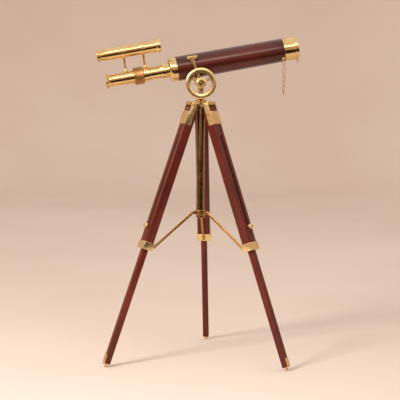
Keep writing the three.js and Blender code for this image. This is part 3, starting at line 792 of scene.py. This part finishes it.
headHoles = [moved(holeMesh(holeRadius["legBolt"], -40, 40, 32, "Y",
                            (headSizes["hinge"], 0, headSizes["hingeZ"])),
                   postFrame.inverted() @ flatFrame(name)) for name in legNames]
headHoles.append(holeMesh(holeRadius["shaft"], 980, 1020, axis="Z"))
firstArm, *otherArms = [headArm(name) for name in legNames]
finishPiece("tripod_head", [shapedMesh(firstArm, otherArms, headHoles, bevel=0.9)], postFrame,
            [castBrass], "root", ["tripod_head"])

turnedPiece("center_column", [
    (560, 13.5), (560, 17.6), (561, 18.2), (563, 18.2), (564, 16.25, 0.4), (992.7, 16.25, 0.3), (992.7, 13.5),
], postFrame, "root", columnBrass, black=14, axis="Z")

hubSizes = {"z": 579, "pivot": 33, "earRadius": 5.5, "gap": 3.6, "ear": 3.0}


def forkMeshes(rootX, pivotX, pivotZ, radius):
    if pivotX > rootX:
        outline = [(rootX, pivotZ - radius), *arcPoints(pivotX, pivotZ, radius, -90, 90),
                   (rootX, pivotZ + radius)]
    else:
        outline = [(rootX, pivotZ + radius), *arcPoints(pivotX, pivotZ, radius, 90, 270),
                   (rootX, pivotZ - radius)]
    near, far = hubSizes["gap"], hubSizes["gap"] + hubSizes["ear"]
    return [shapedMesh(prismMesh(outline, *span), bevel=0.6) for span in ((near, far), (-far, -near))]


hubMeshes = [turnedMesh([(569, 16.65), (569, 19), (570, 20), (588, 20), (589, 19), (589, 16.65)],
                        closed=True, axis="Z")]
for name in legNames:
    for ear in forkMeshes(18, hubSizes["pivot"], hubSizes["z"], hubSizes["earRadius"]):
        hubMeshes.append(moved(ear, postFrame.inverted() @ flatFrame(name)))
finishPiece("spreader_hub", hubMeshes, postFrame, [braceBrass], "hub", ["spreader_hub"])
print("tripod head made")

legSizes = {"inner": -23, "outer": 11, "half": 25, "end": -588, "lowerMid": -6, "slot": 9,
            "slotTop": -126, "slotEnd": -507, "collarHigh": 31, "knobZ": -498, "lowerEnd": -1048.5,
            "forkX": -39.5, "forkZ": -572, "forkRadius": 6}


def upperLeg(name):
    inner, outer, half, end = (legSizes[key] for key in ("inner", "outer", "half", "end"))
    body = prismMesh([(inner, end), (outer, end), (outer, -11), (inner, -30)], -half, half)
    channel = blockMesh((-17.5, -12.5, end - 1), (5.5, 12.5, -105))
    r = legSizes["slot"] / 2
    slotOutline = [*arcPoints(0, legSizes["slotTop"] - r, r, 0, 180),
                   *arcPoints(0, legSizes["slotEnd"] + r, r, 180, 360)]
    slot = moved(prismMesh(slotOutline, -12, 8), quarterTurn)
    finishPiece("upper_leg_" + name, [shapedMesh(body, cuts=[channel, slot], bevel=1.1)], legFrame(name),
                [legWood], "leg_" + name, ["upper_leg_" + name])


def legBracket(name):
    strap = [*arcPoints(0, 0, 11, 0, 180, 20), (-11, -79), (-8, -82), (13.8, -82), (13.8, -30), (11, -30)]
    plate = blockMesh((11.3, -27.8, -82), (13.8, 27.8, -30))
    sides = [prismMesh(strap, 25.3, 27.8), prismMesh(strap, -27.8, -25.3)]
    hole = holeMesh(holeRadius["legBolt"], -40, 40, 32)
    finishPiece("leg_bracket_" + name, [shapedMesh(plate, sides, [hole], bevel=0.8)], legFrame(name),
                [wheelBrass], "leg_" + name, ["leg_bracket_" + name])
    spots = [((x, side * 27.8, z), (0, side, 0)) for side in (-1, 1) for x, z in ((-1, -41), (2, -66))]
    screws = [screwMesh(place, outward, 2.7, 0.9) for place, outward in spots]
    finishPiece("bracket_screws_" + name, screws, legFrame(name), [screwBrass], "leg_" + name, [])


def legCollar(name):
    inner, outer, half = legSizes["inner"] - 0.3, legSizes["outer"] + 0.3, legSizes["half"] + 0.3
    low, high = legSizes["end"], legSizes["end"] + legSizes["collarHigh"]
    shell = blockMesh((inner - 3, -half - 3, low), (outer + 3, half + 3, high))
    room = blockMesh((inner, -half, low - 1), (outer, half, high + 1))
    pin = turnedMesh([(-8.1, 0), (-8.1, 2.3, 0.5), (8.1, 2.3, 0.5), (8.1, 0)], sides=32, axis="Y")
    forkX, forkZ = legSizes["forkX"], legSizes["forkZ"]
    meshes = [shapedMesh(shell, cuts=[room], bevel=0.9), shifted(pin, forkX, 0, forkZ)]
    meshes += forkMeshes(inner - 2, forkX, forkZ, legSizes["forkRadius"])
    finishPiece("leg_collar_" + name, meshes, legFrame(name), [wheelBrass], "leg_" + name,
                ["leg_collar_" + name])
    spots = [((-6, side * (half + 3), high - 8), (0, side, 0)) for side in (-1, 1)]
    screws = [screwMesh(place, outward, 2.4, 0.9) for place, outward in spots]
    finishPiece("collar_screws_" + name, screws, legFrame(name), [screwBrass], "leg_" + name, [])


def lowerLeg(name):
    body = blockMesh((-17, -12, legSizes["lowerEnd"]), (5, 12, -478))
    hole = holeMesh(holeRadius["knob"], -7, 10, 40, "X", (0, 0, legSizes["knobZ"]))
    finishPiece("lower_leg_" + name, [shapedMesh(body, cuts=[hole], bevel=1.2)], legFrame(name), [legWood],
                "lower_" + name, ["lower_leg_" + name])


def knobSwell(along, radius, angle):
    return -0.5 * abs(math.sin(12 * angle)) if radius > 9.5 and 14.5 < along < 26 else 0.0


def legKnob(name):
    knob = turnedMesh([
        (-6, 0), (-6, 4, 0.5), (11.6, 4), (11.6, 6.5), (14, 6.5), (14, 9), (15.5, 11), (25, 11), (27.5, 9, 1),
        (28.3, 5, 1), (28.3, 0),
    ], sides=144, offset=(0, 0, legSizes["knobZ"]), swell=knobSwell)
    finishPiece("leg_knob_" + name, [knob], legFrame(name), [wheelBrass], "knob_" + name,
                ["leg_knob_" + name])


def footSpike(name):
    floor = moved(blockMesh((-900, -900, -300), (900, 900, 0)), legFrame(name).inverted())
    rod = turnedMesh([(-1080.5, 0), (-1080.5, 4.5, 0), (-1050, 4.5, 0), (-1050, 0)], sides=40, axis="Z",
                     offset=(legSizes["lowerMid"], 0, 0))
    plate = shapedMesh(blockMesh((5.3, -10, -1051.8), (8.3, 10, -1014.5)), bevel=0.8)
    under = shapedMesh(blockMesh((-14, -10, -1051.8), (6.3, 10, -1048.8)), bevel=0.6)
    screws = [screwMesh((8.3, 0, z), (1, 0, 0), 2.2, 0.8) for z in (-1022, -1036)]
    meshes = [plate, under, shapedMesh(rod, cuts=[floor]), *screws]
    finishPiece("foot_spike_" + name, meshes, legFrame(name), [wheelBrass], "lower_" + name,
                ["foot_spike_" + name])


def pivotBolt(name):
    place = legFrame(name)
    bolt = turnedMesh([
        (-31.1, 0), (-31.1, 4.5, 1), (-30.1, 6, 0.8), (-28.1, 6), (-28.1, 3), (28.1, 3), (28.1, 6),
        (30.1, 6, 0.8), (31.1, 4.5, 1), (31.1, 0),
    ], sides=48, axis="Y")
    finishPiece("leg_pivot_bolt_" + name, [bolt], place, [castBrass], "leg_" + name,
                ["leg_pivot_bolt_" + name])


braceSizes = {"endRadius": 4.6, "half": 3}


def spreaderBrace(name):
    start = flatFrame(name).inverted() @ jointPoint("brace_swing_" + name) / mm
    run = Vector((hubSizes["pivot"] - start.x, 0, hubSizes["z"] - start.z))
    radius, half = braceSizes["endRadius"], braceSizes["half"]
    outline = [*arcPoints(0, 0, radius, 90, 270, 20), *arcPoints(run.length, 0, radius, -90, 90, 20)]
    hole = holeMesh(holeRadius["brace"], -10, 10, 32)
    bar = shapedMesh(prismMesh(outline, -half, half), cuts=[hole], bevel=0.9)
    bar = moved(bar, Matrix.Rotation(-math.atan2(run.z, run.x), 4, "Y"))
    finishPiece("spreader_brace_" + name, [bar], flatFrame(name) @ Matrix.Translation(start * mm),
                [braceBrass], "brace_" + name, ["spreader_brace_" + name])


for name in legNames:
    upperLeg(name)
    legBracket(name)
    legCollar(name)
    lowerLeg(name)
    legKnob(name)
    footSpike(name)
    pivotBolt(name)
    spreaderBrace(name)
print("legs made")

# floor, backdrop and lights
stageSizes = {"floor": 7.0, "wall": 9.0, "high": 7.0, "darker": (0.74, 0.61, 0.53),
              "lighter": (0.81, 0.70, 0.62)}


def makeStageMaterial():
    material, tree, shader = newMaterial("paper")
    clouds = noiseNode(tree, 0.35, detail=4.0)
    tone = rampNode(tree, clouds, "Fac", [(0.35, stageSizes["darker"]), (0.65, stageSizes["lighter"])])
    join(tree, tone, "Color", shader, "Base Color")
    grain = noiseNode(tree, 60.0, detail=3.0)
    rough = rangeNode(tree, grain, "Fac", 0.75, 0.9)
    join(tree, rough, "Result", shader, "Roughness")
    shader.inputs["Specular IOR Level"].default_value = 0.2
    return material


def makeStage():
    floor, wall, high = (stageSizes[key] / mm for key in ("floor", "wall", "high"))
    bend = wall - floor
    curve = [(bend - bend * math.cos(math.radians(a)), floor + bend * math.sin(math.radians(a)), 0)
             for a in range(0, 91, 6)]
    mesh = turnedMesh([(0, 0), *curve, (high, wall)], sides=96, axis="Z")
    mesh.materials.append(makeStageMaterial())
    mesh.shade_smooth()
    stage = bpy.data.objects.new("backdrop", mesh)
    bpy.context.scene.collection.objects.link(stage)
    stage.location = (panPoint.x, panPoint.y, 0)


def aimed(thing, place, target):
    thing.location = Vector(place)
    thing.rotation_euler = (Vector(target) - Vector(place)).to_track_quat("-Z", "Y").to_euler()


def areaLight(name, place, target, width, high, power, color):
    data = bpy.data.lights.new(name, "AREA")
    data.shape = "RECTANGLE"
    data.size, data.size_y = width, high
    data.energy = power
    data.color = color
    light = bpy.data.objects.new(name, data)
    bpy.context.scene.collection.objects.link(light)
    aimed(light, place, target)


def reflectionCard(name, place, target, width, high, color, glow):
    # a card seen only in reflections
    bm = bmesh.new()
    bmesh.ops.create_grid(bm, size=0.5)
    mesh = bpy.data.meshes.new(name)
    bm.to_mesh(mesh)
    bm.free()
    material, tree, shader = newMaterial(name)
    shader.inputs["Base Color"].default_value = (*color, 1)
    shader.inputs["Roughness"].default_value = 1.0
    shader.inputs["Emission Color"].default_value = (*color, 1)
    shader.inputs["Emission Strength"].default_value = glow
    mesh.materials.append(material)
    card = bpy.data.objects.new(name, mesh)
    bpy.context.scene.collection.objects.link(card)
    aimed(card, place, target)
    card.scale = (width, high, 1)
    card.visible_camera = False
    card.visible_diffuse = False
    card.visible_shadow = False
    card.visible_transmission = False
    card.visible_volume_scatter = False


lightSizes = {"keyPower": 125, "fillPower": 10, "world": 0.98}
makeStage()
areaLight("key", (-2.6, -2.2, 2.9), (0, 0, 0.7), 0.9, 0.9, lightSizes["keyPower"], (1.0, 0.96, 0.90))
areaLight("fill", (2.8, -2.8, 2.4), (0, 0, 0.8), 1.8, 1.8, lightSizes["fillPower"], (1.0, 0.93, 0.88))
reflectionCard("darkCard", (0, -1.4, 0.58), (0, 0, 0.80), 4.4, 0.98, (0.022, 0.014, 0.006), 0.0)
reflectionCard("softCard", (-0.4, -2.6, 2.9), (0, 0, 1.1), 3.4, 0.7, (1.0, 0.94, 0.82), 5.0)
world = bpy.data.worlds.new("world")
world.use_nodes = True
sky = world.node_tree.nodes["Background"]
sky.inputs["Color"].default_value = (1.0, 0.94, 0.89, 1)
sky.inputs["Strength"].default_value = lightSizes["world"]
bpy.context.scene.world = world
bpy.context.scene.view_settings.view_transform = "Standard"
print("stage and lights made")
